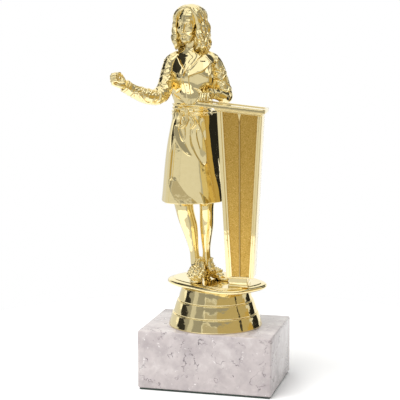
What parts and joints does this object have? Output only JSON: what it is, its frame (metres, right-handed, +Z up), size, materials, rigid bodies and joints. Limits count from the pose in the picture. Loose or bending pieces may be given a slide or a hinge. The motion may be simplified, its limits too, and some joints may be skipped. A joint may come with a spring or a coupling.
{
  "type": "public speaking trophy",
  "caption": "Trophy of a woman speaker standing beside a tapered lectern, on an oval stage plate, a round stepped riser and a polished marble block.",
  "frame": {"origin": "centre of the underside of the felt, on the surface that the trophy stands on", "axes": "+Z up; -Y is the front, toward which the lectern's panelled face looks; +X is the lectern's side"},
  "size_m": [0.0892, 0.061, 0.2084],
  "materials": {
    "gold": "bright vacuum-metallised gold, mirror-like",
    "satin_gold": "fine-grained satin gold",
    "marble": "polished pale pinkish-grey marble with thin dark veins",
    "felt": "thin dark felt",
    "steel": "zinc-plated",
    "brass": "turned"
  },
  "bodies": {
    "root": {"base_felt": "felt", "stone_base": "marble", "tie_rod": "steel", "rod_nut": "steel", "rod_washer": "steel", "riser_shell": "gold", "figure_insert": "brass", "stage_plate": "gold", "lectern_plinth": "gold", "lectern_body": "gold", "lectern_left_panel": "satin_gold", "lectern_right_panel": "satin_gold", "lectern_center_bead": "gold", "lectern_cornice": "gold", "lectern_board": "gold", "right_shoe": "gold", "left_shoe": "gold", "right_leg": "gold", "left_leg": "gold", "skirt": "gold", "sash": "gold", "sash_tails": "gold", "blouse": "gold", "collar": "gold", "right_sleeve": "gold", "right_cuff": "gold", "right_hand": "gold", "left_sleeve": "gold", "left_cuff": "gold", "left_hand": "gold", "head": "gold", "hair": "gold"}
  },
  "joints": []
}
